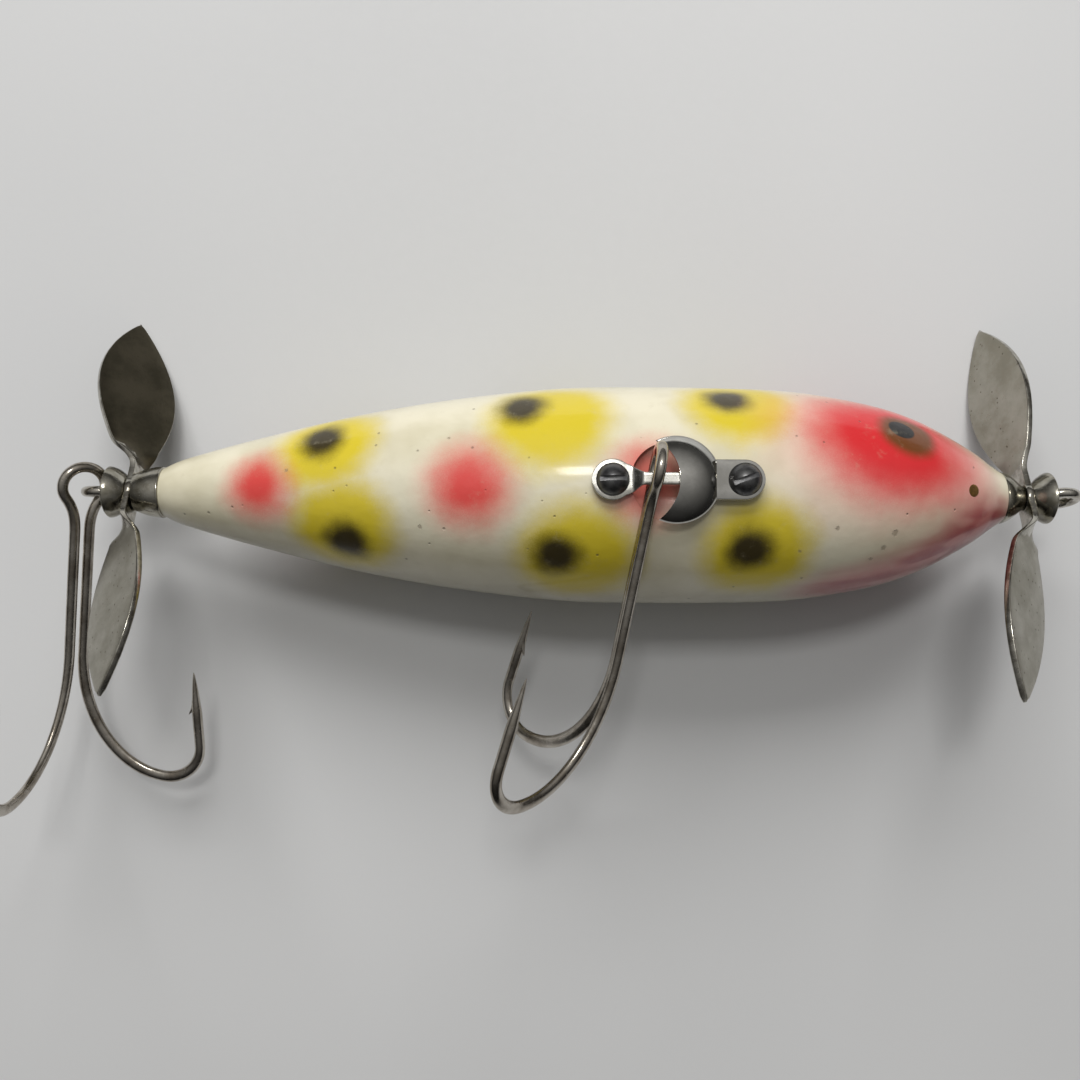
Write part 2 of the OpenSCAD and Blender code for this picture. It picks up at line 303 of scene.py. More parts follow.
def plate_ring(centre, chord, face, half_width, half_thick, edge):
    """One rounded-rectangle section of a sheet part."""
    edge = min(edge, half_width * 0.9, half_thick * 0.98)
    ring = []
    for sx, sy, start in ((1, 1, 0), (-1, 1, 90), (-1, -1, 180), (1, -1, 270)):
        for k in range(4):
            a = math.radians(start + 30 * k)
            w = sx * (half_width - edge) + edge * math.cos(a)
            t = sy * (half_thick - edge) + edge * math.sin(a)
            ring.append(centre + chord * w + face * t)
        if start in (0, 180):
            for share in (0.6, 0.2, -0.2, -0.6):
                w = sx * share * (half_width - edge)
                ring.append(centre + chord * w + face * sy * half_thick)
    return ring


def finish_piece(obj, body, node, materials, sharp=38):
    """Scales a piece to metres, shades it, and puts it on its body in place of its CAD node."""
    obj.data.transform(Matrix.Scale(MM, 4))
    work = bmesh.new()
    work.from_mesh(obj.data)
    for face in work.faces:
        face.smooth = True
    for line in work.edges:
        if len(line.link_faces) == 2:
            line.smooth = line.calc_face_angle(0.0) < math.radians(sharp)
    work.to_mesh(obj.data)
    work.free()
    obj.data.materials.clear()
    for material in materials:
        obj.data.materials.append(material)
    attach(obj, body)
    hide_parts(node)
    return obj


# ---------------------------------------------------------------- material helpers
class Paint:
    """A node material with short calls for the nodes used here."""

    def __init__(self, name):
        self.material = bpy.data.materials.new(name)
        self.material.use_nodes = True
        self.tree = self.material.node_tree
        self.shader = self.tree.nodes["Principled BSDF"]
        coords = self.node("ShaderNodeTexCoord")
        grow = self.node("ShaderNodeVectorMath", operation="SCALE")
        self.tree.links.new(coords.outputs["Object"], grow.inputs[0])
        grow.inputs["Scale"].default_value = 1 / MM
        self.mm = grow.outputs[0]

    def node(self, kind, **settings):
        made = self.tree.nodes.new(kind)
        for key, value in settings.items():
            setattr(made, key, value)
        return made

    def put(self, socket, value):
        if isinstance(value, bpy.types.NodeSocket):
            self.tree.links.new(value, socket)
        else:
            socket.default_value = value

    def math(self, operation, a, b=0.0, clamp=False):
        made = self.node("ShaderNodeMath", operation=operation, use_clamp=clamp)
        self.put(made.inputs[0], a)
        self.put(made.inputs[1], b)
        return made.outputs[0]

    def vector(self, operation, a, b):
        made = self.node("ShaderNodeVectorMath", operation=operation)
        self.put(made.inputs[0], a)
        self.put(made.inputs[1], b)
        return made.outputs["Value" if operation in ("DISTANCE", "LENGTH") else "Vector"]

    def noise(self, scale, detail=2.0, rough=0.5, vector=None):
        made = self.node("ShaderNodeTexNoise")
        self.put(made.inputs["Vector"], vector or self.mm)
        made.inputs["Scale"].default_value = scale
        made.inputs["Detail"].default_value = detail
        made.inputs["Roughness"].default_value = rough
        return made.outputs["Fac"]

    def cells(self, scale, vector=None):
        made = self.node("ShaderNodeTexVoronoi")
        self.put(made.inputs["Vector"], vector or self.mm)
        made.inputs["Scale"].default_value = scale
        return made.outputs["Distance"], made.outputs["Color"]

    def ramp(self, value, low, high, to_low=0.0, to_high=1.0, smooth=True):
        made = self.node("ShaderNodeMapRange", interpolation_type="SMOOTHSTEP" if smooth else "LINEAR")
        self.put(made.inputs["Value"], value)
        made.inputs["From Min"].default_value = low
        made.inputs["From Max"].default_value = high
        made.inputs["To Min"].default_value = to_low
        made.inputs["To Max"].default_value = to_high
        return made.outputs["Result"]

    def blend(self, factor, a, b):
        made = self.node("ShaderNodeMix", data_type="RGBA")
        self.put(made.inputs[0], factor)
        for socket, value in ((made.inputs[6], a), (made.inputs[7], b)):
            self.put(socket, (*value, 1.0) if isinstance(value, tuple) else value)
        return made.outputs[2]

    def stretch(self, factors):
        return self.vector("MULTIPLY", self.mm, factors)

    def bump(self, height, strength, distance, below=None):
        made = self.node("ShaderNodeBump")
        self.put(made.inputs["Height"], height)
        made.inputs["Strength"].default_value = strength
        made.inputs["Distance"].default_value = distance * MM
        if below is not None:
            self.tree.links.new(below, made.inputs["Normal"])
        return made.outputs["Normal"]

    def set(self, **values):
        for key, value in values.items():
            self.put(self.shader.inputs[key.replace("_", " ")], value)


# ---------------------------------------------------------------- body paint
IVORY = (0.66, 0.62, 0.48)
IVORY_WARM = (0.56, 0.52, 0.38)
YELLOW = (0.58, 0.46, 0.015)
SPOT_RED = (0.60, 0.038, 0.035)
BLACK_BROWN = (0.018, 0.012, 0.006)
BLUSH_RED = (0.56, 0.022, 0.026)
PINK = (0.62, 0.17, 0.17)
CHIN_RED = (0.30, 0.012, 0.025)
IRIS = (0.11, 0.042, 0.008)

# Each sprayed spot: place along X, angle from +Z towards +Y, solid radius, radius where it ends
RED_SPOTS = [(-76.2, 2, 0.6, 5.0), (-56.65, 2, 0.9, 6.0)]
RIG_SPOT = (-40.6, 5, 1.4, 5.6)
YELLOW_SPOTS = [
    (-69.9, 38, 3.0, 6.6), (-68.2, -29, 3.0, 6.6), (-49.5, 42, 3.6, 7.6),
    (-47.0, -36, 3.4, 7.2), (-32.4, 53, 3.2, 6.8), (-31.0, -32, 3.2, 6.8),
]
DARK_SPOTS = [
    (-70.4, 42, 0.9, 3.2), (-67.9, -38, 0.9, 3.2), (-52.0, 51, 0.9, 3.4),
    (-48.8, -34, 0.9, 3.3), (-33.2, 56, 0.9, 3.2), (-31.65, -30, 0.9, 3.2),
]
NICKS = [
    (-18.5, -24, 0.35), (-19.4, -33, 0.3), (-20.4, -40, 0.22), (-24.0, -19, 0.22),
    (-61.0, -22, 0.2), (-73.5, 17, 0.18), (-27.2, -31, 0.18), (-58.5, 31, 0.16),
]


def body_paint():
    paint = Paint("body_paint")
    apart = paint.node("ShaderNodeSeparateXYZ")
    paint.put(apart.inputs[0], paint.mm)
    folded = paint.node("ShaderNodeCombineXYZ")
    paint.put(folded.inputs[0], apart.outputs[0])
    paint.put(folded.inputs[1], apart.outputs[1])
    paint.put(folded.inputs[2], paint.math("ABSOLUTE", apart.outputs[2]))
    folded = folded.outputs[0]
    grain = paint.math("SUBTRACT", paint.noise(9.0, 3.0, 0.7), 0.5)
    drift = paint.math("SUBTRACT", paint.noise(0.45, 2.0), 0.5)
    wander = paint.math("ADD", paint.math("MULTIPLY", grain, 1.3), paint.math("MULTIPLY", drift, 1.4))

    def spray(x, angle, core, reach, squeeze=1.0, edge=1.0, top=1.0):
        """Mask of one sprayed spot. squeeze below 1 makes it longer along X."""
        centre = on_body(x, angle)
        centre.x *= squeeze
        placed = folded
        if squeeze != 1.0:
            placed = paint.vector("MULTIPLY", folded, (squeeze, 1, 1))
        away = paint.vector("DISTANCE", placed, tuple(centre))
        away = paint.math("ADD", away, paint.math("MULTIPLY", wander, edge))
        return paint.ramp(away, core, reach, top, 0.0)

    def layer(colour, masks, value):
        total = masks[0]
        for mask in masks[1:]:
            total = paint.math("MAXIMUM", total, mask)
        return paint.blend(total, colour, value)

    colour = paint.blend(paint.ramp(paint.noise(0.16, 3.0), 0.35, 0.68), IVORY, IVORY_WARM)
    colour = layer(colour, [spray(*s, top=0.97) for s in YELLOW_SPOTS], YELLOW)
    reds = [spray(*s, top=0.97) for s in RED_SPOTS]
    reds.append(spray(*RIG_SPOT, top=0.8))
    colour = layer(colour, reds, SPOT_RED)
    colour = layer(colour, [spray(*s, edge=0.7, top=0.97) for s in DARK_SPOTS], BLACK_BROWN)

    # Red sprayed round the eye, with a pink fade towards the nose
    fade = [spray(-18.5, 33, 2.0, 11.0, 0.7, top=0.8), spray(-12.5, 26, 2.0, 8.0, top=0.7)]
    colour = layer(colour, fade, PINK)
    colour = layer(colour, [spray(-18.2, 36, 3.0, 8.6, 0.75, top=1.0)], BLUSH_RED)
    # Streaky red along the chin, drawn out along the body
    chin = [spray(mix(-9.0, -20.5, t / 5), mix(-42, -64, (t / 5) ** 0.6), 0.4, 4.6, 0.5, 0.12, 1.0)
            for t in range(6)]
    streaks = paint.noise(0.8, 0.0, 0.5, paint.stretch((0.03, 0.9, 0.9)))
    chin_mask = chin[0]
    for mask in chin[1:]:
        chin_mask = paint.math("MAXIMUM", chin_mask, mask)
    colour = paint.blend(paint.math("MULTIPLY", chin_mask, 0.85), colour, PINK)
    chin_deep = paint.math("MULTIPLY", chin_mask, paint.ramp(streaks, 0.36, 0.62, 0.35, 0.95))
    colour = paint.blend(chin_deep, colour, CHIN_RED)

    # Painted eye
    colour = layer(colour, [spray(-16.75, 41.6, 1.75, 3.2, 0.86, 0.30, 0.95)], IRIS)
    colour = layer(colour, [spray(-17.3, 44.7, 1.02, 1.22, 0.86, 0.06)], (0.003, 0.002, 0.002))

    # Dark specks, and small nicks through the clear coat
    spot_distance, spot_colour = paint.cells(0.8)
    chosen = paint.node("ShaderNodeSeparateColor")
    paint.put(chosen.inputs[0], spot_colour)
    specks = paint.math("MULTIPLY", paint.ramp(spot_distance, 0.05, 0.13, 1.0, 0.0),
                        paint.ramp(chosen.outputs[0], 0.78, 0.8))
    colour = paint.blend(paint.math("MULTIPLY", specks, 0.5), colour, (0.10, 0.08, 0.05))
    nick = None
    for x, angle, size in NICKS:
        away = paint.vector("DISTANCE", folded, tuple(on_body(x, angle)))
        away = paint.math("ADD", away, paint.math("MULTIPLY", grain, 0.5))
        mark = paint.ramp(away, size * 0.6, size, 1.0, 0.0)
        nick = mark if nick is None else paint.math("MAXIMUM", nick, mark)
    colour = paint.blend(paint.math("MULTIPLY", nick, 0.55), colour, (0.24, 0.19, 0.13))
    grime = paint.ramp(paint.noise(0.8, 5.0, 0.7), 0.55, 0.8, 0.0, 0.25)
    colour = paint.blend(grime, colour, (0.45, 0.40, 0.28))

    peel = paint.bump(paint.noise(0.55, 2.0), 0.12, 0.5)
    dents = paint.bump(paint.math("SUBTRACT", 1.0, paint.math("MAXIMUM", nick, specks)), 0.6, 0.12, peel)
    paint.set(Base_Color=colour, Normal=dents,
              Roughness=paint.ramp(paint.noise(1.5, 4.0), 0.3, 0.7, 0.30, 0.42, False))
    paint.shader.inputs["Coat Weight"].default_value = 0.5
    paint.shader.inputs["Coat Roughness"].default_value = 0.11
    paint.shader.inputs["Specular IOR Level"].default_value = 0.4
    return paint.material


# ---------------------------------------------------------------- metals
def metal(name, bright, dull, rough, patch=0.5, scratch=(0.5, 6, 6), speck=0.0, bump=0.25):
    """Worn metal: two tones in patches, uneven gloss, fine scratches and optional dark specks."""
    paint = Paint(name)
    patches = paint.ramp(paint.noise(patch, 5.0, 0.65), 0.34, 0.68)
    colour = paint.blend(patches, bright, dull)
    lines = paint.noise(1.4, 4.0, 0.75, paint.stretch(scratch))
    uneven = paint.ramp(paint.noise(patch * 3, 4.0, 0.7), 0.3, 0.7, rough[0], rough[1], False)
    gloss = paint.math("ADD", uneven, paint.ramp(lines, 0.55, 0.75, 0.0, 0.10))
    height = lines
    if speck:
        near, tint = paint.cells(1.7)
        chosen = paint.node("ShaderNodeSeparateColor")
        paint.put(chosen.inputs[0], tint)
        pits = paint.math("MULTIPLY", paint.ramp(near, 0.06, 0.22, 1.0, 0.0),
                          paint.ramp(chosen.outputs[0], 0.6, 0.65))
        colour = paint.blend(paint.math("MULTIPLY", pits, speck), colour, (0.10, 0.08, 0.05))
        gloss = paint.math("ADD", gloss, paint.math("MULTIPLY", pits, 0.2))
        height = paint.math("SUBTRACT", lines, pits)
    paint.set(Base_Color=colour, Roughness=gloss, Normal=paint.bump(height, bump, 0.02))
    paint.shader.inputs["Metallic"].default_value = 1.0
    return paint.material


BODY_PAINT = body_paint()
NICKEL_WIRE = metal("nickel_wire_metal", (0.66, 0.63, 0.57), (0.42, 0.39, 0.34), (0.12, 0.30), 0.8)
NICKEL_SHEET = metal("nickel_sheet_metal", (0.50, 0.48, 0.42), (0.26, 0.24, 0.18), (0.10, 0.26), 0.5)
BLADE_FACE = metal("blade_face_metal", (0.46, 0.44, 0.38), (0.33, 0.31, 0.25), (0.26, 0.42), 0.22,
                   (3, 0.5, 3), 0.75, 0.4)
# Rear upper blade: the same blade metal painted far darker, a painted reflection of the dark room.
BLADE_PAINTED_REFLECTION = metal("blade_painted_reflection_metal", (0.115, 0.10, 0.07), (0.07, 0.062, 0.042), (0.30, 0.44), 0.22,
                   (3, 0.5, 3), 0.3, 0.3)
BLADE_EDGE = metal("blade_edge_metal", (0.58, 0.56, 0.50), (0.28, 0.26, 0.22), (0.12, 0.28), 0.9)
HOOK_WIRE = metal("hook_wire_metal", (0.58, 0.54, 0.48), (0.33, 0.29, 0.24), (0.14, 0.28), 0.45,
                  (3, 0.4, 3), 0.2, 0.12)
RIG_DOME = metal("rig_dome_metal", (0.58, 0.57, 0.54), (0.46, 0.45, 0.42), (0.05, 0.13), 0.35,
                 bump=0.08)
RIG_PLATE = metal("rig_plate_metal", (0.60, 0.59, 0.55), (0.44, 0.43, 0.39), (0.22, 0.38), 0.7,
                  bump=0.15)
SCREW_STEEL = metal("screw_steel_metal", (0.20, 0.20, 0.20), (0.10, 0.10, 0.105), (0.30, 0.46), 1.1,
                    (1, 5, 5), 0.3)
# Bright metal for the screws' bevels: worn burrs along the slot, plus a painted highlight for the slot's lit
# lower wall.
SCREW_BURR_AND_HIGHLIGHT = metal("screw_burr_and_highlight_metal", (0.66, 0.65, 0.61), (0.38, 0.37, 0.34), (0.20, 0.36), 1.4)
PIN_BRASS = metal("pin_brass_metal", (0.50, 0.28, 0.08), (0.30, 0.17, 0.06), (0.35, 0.55), 2.0)


# ---------------------------------------------------------------- body halves
def body_half(name, start):
    """One closed half shell, half a turn from start degrees, with a fine bevel along the parting line."""
    last_x = NOSE_X - SOLID_END
    inner = [(x, r - WALL) for x, r in BODY_CURVE if TAIL_X + SOLID_END < x < last_x]
    inner = [(inner[0][0], 0.0)] + inner + [(inner[-1][0], 0.0)]
    outer = [(TAIL_X, 0.0)] + BODY_CURVE + [(NOSE_X, 0.0)]
    steps = 72
    seam = 0.05

    def surface(profile, bevelled):
        rings = []
        for k in range(steps + 1):
            a = math.radians(start + 180 * k / steps)
            down = seam if bevelled and k in (0, steps) else 0.0
            if bevelled and k in (1, steps - 1):
                a = math.radians(start + (0.5 if k == 1 else 179.5))
            lowered = [(x, max(r - down, 0)) for x, r in profile]
            rings.append([(x, r * math.sin(a), r * math.cos(a)) for x, r in lowered])
        return rings

    verts, faces = [], []
    for rings in (surface(outer, True), surface(inner, False)):
        base = len(verts)
        count = len(rings[0])
        verts += [p for ring in rings for p in ring]
        for i in range(steps):
            for k in range(count - 1):
                a = base + i * count + k
                faces.append((a, a + 1, a + count + 1, a + count))
    # Flat parting faces between the outer and the inner outline
    outer_count = len(outer)
    inner_base = (steps + 1) * outer_count
    inner_count = len(inner)
    for side in (0, steps):
        out_row = [side * outer_count + k for k in range(outer_count)]
        in_row = [inner_base + side * inner_count + k for k in range(inner_count)]
        first = next(k for k in range(outer_count) if outer[k][0] >= inner[0][0] - 1e-6 and k > 0)
        final = max(k for k in range(outer_count - 1) if outer[k][0] <= inner[-1][0] + 1e-6)
        faces.append(tuple(out_row[:first + 1] + [in_row[1], in_row[0]]))
        faces.append(tuple([in_row[-1], in_row[-2]] + out_row[final:]))
        for k in range(first, final):
            faces.append((out_row[k], out_row[k + 1], in_row[k - first + 2], in_row[k - first + 1]))
    return new_object(name, verts, faces)


def build_body():
    near = body_half("near_half", -90)
    far = body_half("far_half", 90)
    recess_r = 3.5
    floor_z = BODY_R - 1.2
    corner = [(recess_r - 0.3, floor_z), (recess_r - 0.09, floor_z + 0.09), (recess_r, floor_z + 0.3)]
    profile = [(0.0, floor_z)] + corner + [(recess_r, floor_z + 4), (0.0, floor_z + 4)]
    recess = lathe_z("recess_cutter", profile, (DOME_X - 0.4, 0))
    recess.data.transform(Matrix.Rotation(math.radians(-RIG_ROLL), 4, "X"))
    combine(near, recess, "DIFFERENCE")
    finish_piece(near, "body", "body_shell_near", [BODY_PAINT])
    finish_piece(far, "body", "body_shell_far", [BODY_PAINT])


# ---------------------------------------------------------------- cups and bells
def cup_profile(length, narrow, power):
    """Closed profile of a pressed cup: rim with a rolled bead at 0, narrow end at length."""
    steps = 26
    bead = 0.19
    neck = 0.12

    def outside(t):
        return narrow + (CUP_RIM_R - narrow) * max(math.cos(math.radians(90 * t)), 0.0) ** power

    outer = []
    for i in range(2, steps + 1):
        t = i / steps
        outer.append((length * t - (neck if t == 1 else 0), outside(t)))
    inner = []
    for i in range(steps - 3, 1, -1):
        t = i / steps
        inner.append((length * t * (length - SHEET) / (length * 0.88), outside(t) - SHEET))
    rim = []
    for k in range(9):
        a = math.radians(-80 + 260 * (8 - k) / 8 - 90)
        rim.append((bead + bead * math.sin(a), CUP_RIM_R - bead - 0.02 + bead * math.cos(a)))
    rim.reverse()
    inside_end = length - SHEET
    flat = [(length, narrow - 0.14), (length, BORE_R), (inside_end, BORE_R), (inside_end, narrow - SHEET)]
    return outer + flat + [p for p in inner if p[0] < length - SHEET] + rim


def cup(name, node, body, start, direction, length, narrow=CUP_NARROW_R, power=1.25):
    profile = [(start + direction * x, r) for x, r in cup_profile(length, narrow, power)]
    obj = lathe(name, profile, 112)
    finish_piece(obj, body, node, [NICKEL_SHEET], 50)


def build_cups():
    cup("nose_cup_pressing", "nose_cup", "body", NOSE_X, 1, NOSE_CUP_LEN)
    cup("tail_cup_pressing", "tail_cup", "body", TAIL_X, -1, TAIL_CUP_LEN, TAIL_NARROW_R, 0.8)
    cup("front_bell_pressing", "front_bell", "front_bell", FRONT_BELL_X + BELL_LEN, -1, BELL_LEN)
    cup("rear_bell_pressing", "rear_bell", "rear_bell", REAR_BELL_X - BELL_LEN, 1, BELL_LEN, 1.4, 0.9)


# ---------------------------------------------------------------- wire eyes
def eye_wire(name, node, centre_x, direction, tilt, shank_end):
    """Bent wire eye: a straight shank that turns into a ring and ends beside the shank."""
    ring_from = 215
    ring_to = 517
    start = Vector((-EYE_R - 1.7, 0, 0))
    join = Vector((EYE_R * math.cos(math.radians(ring_from)), 0, EYE_R * math.sin(math.radians(ring_from))))
    heading = Vector((-math.sin(math.radians(ring_from)), 0, math.cos(math.radians(ring_from))))
    path = [Vector((mix(-shank_end, start.x, i / 10), 0, 0)) for i in range(10)]
    for i in range(10):
        t = i / 10
        p1 = start + Vector((0.9, 0, 0))
        p2 = join - heading * 0.55
        path.append(bezier(start, p1, p2, join, t))
    for i in range(61):
        a = math.radians(mix(ring_from, ring_to, i / 60))
        path.append(Vector((EYE_R * math.cos(a), 0, EYE_R * math.sin(a))))
    radii = [WIRE_R] * len(path)
    radii[-1] = WIRE_R * 0.55
    radii[-2] = WIRE_R * 0.93
    turn = Matrix.Rotation(math.radians(-tilt), 3, "X")
    placed = []
    for p in path:
        q = turn @ p
        placed.append((centre_x + direction * q.x, q.y, q.z))
    obj = tube(name, placed, radii)
    finish_piece(obj, "body", node, [NICKEL_WIRE], 50)


def build_eyes():
    eye_wire("line_tie_wire", "line_tie", 0.0, 1, LINE_TIE_TILT, -NOSE_X + SHANK_IN)
    eye_wire("tail_eye_wire", "tail_eye", TAIL_EYE_X, -1, 0.0, TAIL_X - TAIL_EYE_X + SHANK_IN)


# ---------------------------------------------------------------- propellers
def half_chord(r):
    """Half width of a blade: a strip at the hub, then a pointed leaf."""
    if r < TWIST_FROM:
        return STRIP_HALF
    u = clamp01((r - TWIST_FROM) / (PROP_R - TWIST_FROM))
    leaf = 2 * BLADE_CHORD * u * (1 - u)
    return max(0.16, STRIP_HALF * (1 - u) ** 8 + leaf)


def propeller(name, node, hub_x, pitches, lean, sweep, upper_face):
    """Both blades as one twisted strip from tip to tip, with a hub boss and a bore."""
    def twist(t):
        """Turn of the section at t, in radians. Upper blade first in pitches."""
        pitch = pitches[0] if t >= 0 else -pitches[1]
        return math.radians(pitch * ease((abs(t) - TWIST_FROM) / (TWIST_TO - TWIST_FROM)))

    stations = 150
    rings = []
    for i in range(stations + 1):
        s = mix(-1, 1, i / stations)
        t = PROP_R * math.copysign(abs(s) ** 0.9, s)
        r = abs(t)
        side = 1 if t >= 0 else -1
        angle = twist(t)
        shift = (side * lean + sweep) * r / PROP_R * ease((r - 1.8) / 4)
        centre = Vector((shift, t, 0))
        chord = Vector((math.sin(angle), 0, math.cos(angle)))
        face = Vector((math.cos(angle), 0, -math.sin(angle)))
        tip = clamp01((PROP_R - r) / 0.5)
        thick = (BLADE_T / 2) * mix(0.45, 1.0, math.sqrt(tip))
        width = half_chord(r) * mix(0.4, 1, math.sqrt(tip))
        rings.append(plate_ring(centre, chord, face, width, thick, 0.11))
    verts, faces = rings_mesh(rings)
    obj = new_object(name, verts, faces)
    rim = 0.1
    half = BLADE_T / 2
    front = [(half - rim, BOSS_R), (half + 0.02, BOSS_R - rim), (half + 0.02, 0.3)]
    back = [(-x, r) for x, r in reversed(front)]
    boss = lathe("boss", back + front, 64)
    combine(obj, boss, "UNION")
    drill = lathe("drill", [(-1.5, 0.0), (-1.5, BORE_R), (1.5, BORE_R), (1.5, 0.0)], 48)
    combine(obj, drill, "DIFFERENCE")
    place = Matrix.Translation((hub_x, 0, 0)) @ Matrix.Rotation(math.radians(-PROP_TURN), 4, "X")
    obj.data.transform(place)
    finish_piece(obj, node, node, [BLADE_FACE, BLADE_EDGE, upper_face], 50)
    # Faces along the sheet's edge take the brighter metal
    for poly in obj.data.polygons:
        local = place.to_3x3().inverted() @ poly.normal
        point = place.inverted() @ (poly.center / MM)
        r = abs(point.y)
        angle = twist(point.y)
        flat = abs(local.x * math.cos(angle) - local.z * math.sin(angle))
        face = 2 if point.y > 0 else 0
        on_face = flat > 0.86 and r > TWIST_FROM + 0.6
        poly.material_index = face if on_face else 1


def build_propellers():
    propeller("front_propeller_blades", "front_propeller", FRONT_HUB_X, (18, 44), 2.2, -2.4, BLADE_FACE)
    # The rear propeller's upper blade face takes the painted dark reflection.
    propeller("rear_propeller_blades", "rear_propeller", REAR_HUB_X, (-48, -48), -2.2, -1.0, BLADE_PAINTED_REFLECTION)


# ---------------------------------------------------------------- hooks
def hook_half():
    """Half of a double hook from the loop's top to a point: (place, bend weight, distance to the tip)."""
    prong = Vector((0, math.cos(math.radians(PRONG_ANGLE)), math.sin(math.radians(PRONG_ANGLE))))

    def on_prong(s, g):
        return Vector((s, SHANK_GAP, 0)) + prong * g

    path = []
    for i in range(24):
        a = math.radians(LOOP_TURN * i / 24)
        path.append(Vector((LOOP_R - LOOP_R * math.cos(a), LOOP_R * math.sin(a), 0)))
    a = math.radians(LOOP_TURN)
    start = Vector((LOOP_R - LOOP_R * math.cos(a), LOOP_R * math.sin(a), 0))
    heading = Vector((math.sin(a), math.cos(a), 0))
    throat = Vector((THROAT, SHANK_GAP, 0))
    p1 = start + heading * 1.3
    p2 = throat - Vector((1.3, 0, 0))
    for i in range(14):
        t = i / 14
        path.append(bezier(start, p1, p2, throat, t))
    for i in range(12):
        path.append(Vector((mix(THROAT, SHANK_LEN, i / 12), SHANK_GAP, 0)))
    shank_count = len(path)
    for i in range(26):
        a = math.radians(90 * i / 26)
        path.append(on_prong(SHANK_LEN + BEND_DEPTH * math.sin(a), BEND_GAPE * (1 - math.cos(a))))
    centre = (SHANK_LEN + BEND_DEPTH - CROOK_R, BEND_GAPE)
    for i in range(20):
        a = math.radians((90 + POINT_LEAN) * i / 20)
        path.append(on_prong(centre[0] + CROOK_R * math.cos(a), centre[1] + CROOK_R * math.sin(a)))
    bend_end = len(path)
    lean = math.radians(POINT_LEAN)
    out = (centre[0] - CROOK_R * math.sin(lean), centre[1] + CROOK_R * math.cos(lean))
    for i in range(29):
        q = POINT_LEN * (i / 28) ** 0.85
        path.append(on_prong(out[0] - q * math.cos(lean), out[1] - q * math.sin(lean)))
    radii, forged = [], []
    for i, p in enumerate(path):
        left = (path[-1] - p).length if i >= bend_end else POINT_LEN
        radius = HOOK_R
        if left < BARB_AT:
            radius = 0.03 + (HOOK_R - 0.03) * (left / BARB_AT) ** 0.72
        radii.append(radius)
        share = (i - shank_count) / (bend_end - shank_count)
        forged.append(math.sin(math.pi * clamp01(share * 1.05)) ** 0.6 if 0 < share * 1.05 < 1 else 0.0)
    tip_back = (path[bend_end] - path[-1]).normalized()
    barb_root = path[-1] + tip_back * (BARB_AT - 0.9)
    return path, radii, forged, prong, tip_back, barb_root


def double_hook(name, node, pose):
    """The whole wire, forged flat round its bends, with two cut barbs."""
    path, radii, forged, prong, tip_back, barb_root = hook_half()
    flip = Vector((1, -1, 1))
    whole = [p * flip for p in reversed(path[1:])] + path
    whole_r = radii[:0:-1] + radii
    whole_f = forged[:0:-1] + forged
    middle = len(path) - 1
    along_x = Vector((1, 0, 0))

    def forge(i, offset, along):
        weight = whole_f[i]
        if weight <= 0:
            return offset
        side = prong if i >= middle else prong * flip
        across = along_x.cross(side).normalized()
        in_plane = along.cross(across).normalized()
        return (offset + in_plane * offset.dot(in_plane) * 0.22 * weight
                - across * offset.dot(across) * 0.20 * weight)

    obj = tube(name, whole, whole_r, 24, forge)
    for mirror in (Vector((1, 1, 1)), flip):
        root = barb_root * mirror
        back = tip_back * mirror
        inward = -(prong * mirror)
        barb_path, barb_r = [], []
        for i in range(13):
            t = i / 12
            barb_path.append(root + back * 1.55 * t + inward * (0.10 + 0.78 * t ** 1.4) - back * 0.35)
            barb_r.append(0.33 * (1 - t) ** 0.8 + 0.025)
        spur = tube("barb", barb_path, barb_r, 14)
        combine(obj, spur, "UNION")
    top, down, across = (Vector(v) for v in pose)
    down.normalize()
    across = (across - down * across.dot(down)).normalized()
    side = down.cross(across)
    place = Matrix((
        (down.x, across.x, side.x, top.x),
        (down.y, across.y, side.y, top.y),
        (down.z, across.z, side.z, top.z),
        (0, 0, 0, 1)))
    obj.data.transform(place)
    finish_piece(obj, node, node, [HOOK_WIRE], 50)


def build_hooks():
    double_hook("tail_hook_wire", "tail_hook", TAIL_POSE)
    double_hook("belly_hook_wire", "belly_hook", BELLY_POSE)


# ---------------------------------------------------------------- flap rig
def flat_bar(name, x_from, x_to, half_width, lift, z, thick, stations=90):
    """A plate along X with a half width and a lift that follow functions of x."""
    rings = []
    for i in range(stations + 1):
        x = mix(x_from, x_to, (1 - math.cos(math.pi * i / stations)) / 2)
        centre = Vector((x, 0, z + thick / 2 + lift(x)))
        width = max(half_width(x), 0.05)
        rings.append(plate_ring(centre, Vector((0, 1, 0)), Vector((0, 0, 1)), width, thick / 2, 0.09))
    verts, faces = rings_mesh(rings)
    return new_object(name, verts, faces)


def drill_z(obj, x, radius):
    combine(obj, lathe_z("drill", [(0, 8), (radius, 8), (radius, 14), (0, 14)], (x, 0), 48), "DIFFERENCE")


def hanger_half_width(x):
    foot = math.sqrt(max(FOOT_R ** 2 - (x - REAR_SCREW_X) ** 2, 0)) if x < REAR_SCREW_X + 1.2 else 0
    fillet = mix(1.37, NECK_HALF, ease((x - REAR_SCREW_X - 1.2) / 1.6))
    if x < REAR_SCREW_X + 1.2:
        return foot
    if x < -36.6:
        return max(NECK_HALF, fillet)
    if x < FRONT_SCREW_X:
        return mix(NECK_HALF, TAB_HALF, ease((x + 36.6) / 0.7))
    return math.sqrt(max(TAB_HALF ** 2 - (x - FRONT_SCREW_X) ** 2, 0))


def neck_rise(x):
    return NECK_LIFT * (ease((x + 42.3) / 0.9) - ease((x + 38.0) / 0.9))


def tab_half_width(x):
    if x < FRONT_SCREW_X:
        return TAB_HALF
    return math.sqrt(max(TAB_HALF ** 2 - (x - FRONT_SCREW_X) ** 2, 0))


